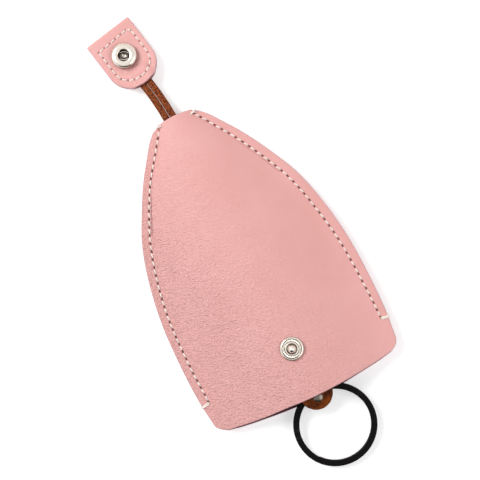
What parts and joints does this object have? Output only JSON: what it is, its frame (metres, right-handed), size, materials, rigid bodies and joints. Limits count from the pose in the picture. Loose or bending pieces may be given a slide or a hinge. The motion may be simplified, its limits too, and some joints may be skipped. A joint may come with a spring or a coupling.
{
  "type": "pull-out key case",
  "caption": "Flat leather key case, open at the bottom, with a key ring that a lace and pull tab draw up inside.",
  "frame": {"origin": "on the table, under the middle of the bounding box of the whole part at rest", "axes": "+Z out of the front, up from the table the case lies on; +Y along the case towards the pull tab; +X to the right seen from the front"},
  "size_m": [0.0752, 0.1779, 0.0162],
  "materials": {
    "pink_leather": "smooth pink leather, satin",
    "brown_leather": "oiled brown leather, matt",
    "thread": "waxed cream thread",
    "nickel": "polished, warm white metal",
    "black_ring": "black, semi-gloss"
  },
  "bodies": {
    "case": {"front_panel": "pink_leather", "back_panel": "pink_leather", "seam_thread_left_front": "thread", "seam_thread_left_back": "thread", "seam_thread_right_front": "thread", "seam_thread_right_back": "thread", "snap_stud": "nickel", "snap_stud_post": "nickel"},
    "strap": {"lace": "brown_leather"},
    "tab": {"pull_tab": "pink_leather", "tab_thread_front": "thread", "tab_thread_back": "thread", "snap_socket": "nickel", "socket_spring": "nickel", "snap_cap": "nickel", "lace_bight": "brown_leather"},
    "ring_holder": {"ring_holder_front": "brown_leather", "ring_holder_back": "brown_leather", "lower_rivet_cap": "nickel", "lower_rivet_base": "nickel", "upper_rivet_cap": "nickel", "upper_rivet_base": "nickel"},
    "key_ring": {"key_ring": "black_ring"}
  },
  "joints": [
    {"name": "lace_slide", "type": "slide", "parent": "case", "child": "strap", "axis": [0, 1, 0], "range_m": [-0.01, 0.066]},
    {"name": "tab_fold", "type": "hinge", "parent": "strap", "child": "tab", "pos_m": [-0.00286, 0.06246, 0.00555], "axis": [0.9813, 0.1925, 0], "range_deg": [0, 115]},
    {"name": "holder_swing", "type": "hinge", "parent": "strap", "child": "ring_holder", "pos_m": [0.0016, -0.04474, 0.00465], "axis": [-1, 0, 0], "range_deg": [0, 7]},
    {"name": "ring_turn", "type": "hinge", "parent": "ring_holder", "child": "key_ring", "pos_m": [0.0028, -0.074, 0.00357], "axis": [0, -0.0775, 0.997], "continuous": true}
  ]
}
